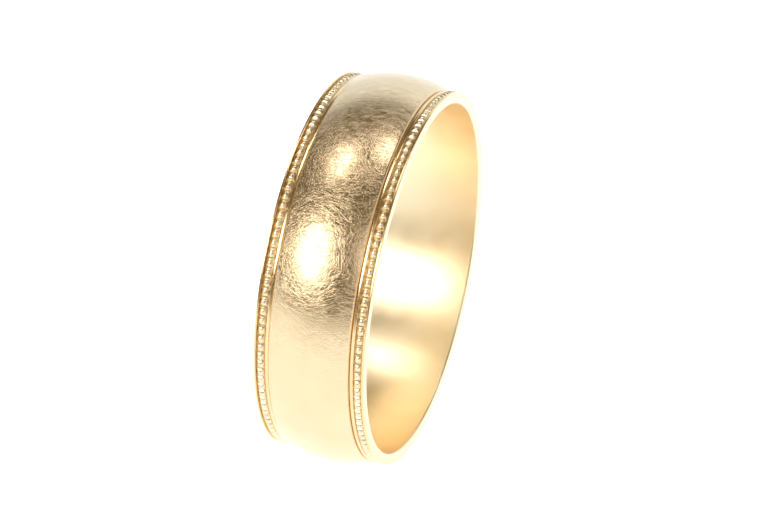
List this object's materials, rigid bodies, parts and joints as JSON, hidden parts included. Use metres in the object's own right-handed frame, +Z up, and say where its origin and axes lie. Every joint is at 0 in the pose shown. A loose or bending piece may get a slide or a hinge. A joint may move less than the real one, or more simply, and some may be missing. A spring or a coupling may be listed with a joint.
{
  "type": "wedding band",
  "caption": "Closed ring band with a satin domed centre between bright stepped wires, a beaded milgrain row near each edge, thin bright rims and a smooth polished finger hole.",
  "frame": {"origin": "centre of the finger hole, midway between the two end faces", "axes": "+X along the finger hole towards the right end face, +Z up; the band stands on its crown, with its lowest point 10.55 mm below the origin"},
  "size_m": [0.006, 0.021, 0.021],
  "materials": {
    "satin_gold": "14k yellow gold, brushed to a soft satin and lightly worn",
    "polished_gold": "14k yellow gold, mirror polished",
    "milgrain_gold": "14k yellow gold, burnished beads",
    "gold_solder": "hard gold solder, polished flush with its neighbours"
  },
  "bodies": {
    "root": {"inner_band": "polished_gold", "solder_film": "gold_solder", "domed_centre": "satin_gold", "left_inner_wire": "polished_gold", "left_milgrain_wire": "milgrain_gold", "left_outer_wire": "polished_gold", "right_inner_wire": "polished_gold", "right_milgrain_wire": "milgrain_gold", "right_outer_wire": "polished_gold"}
  },
  "joints": []
}
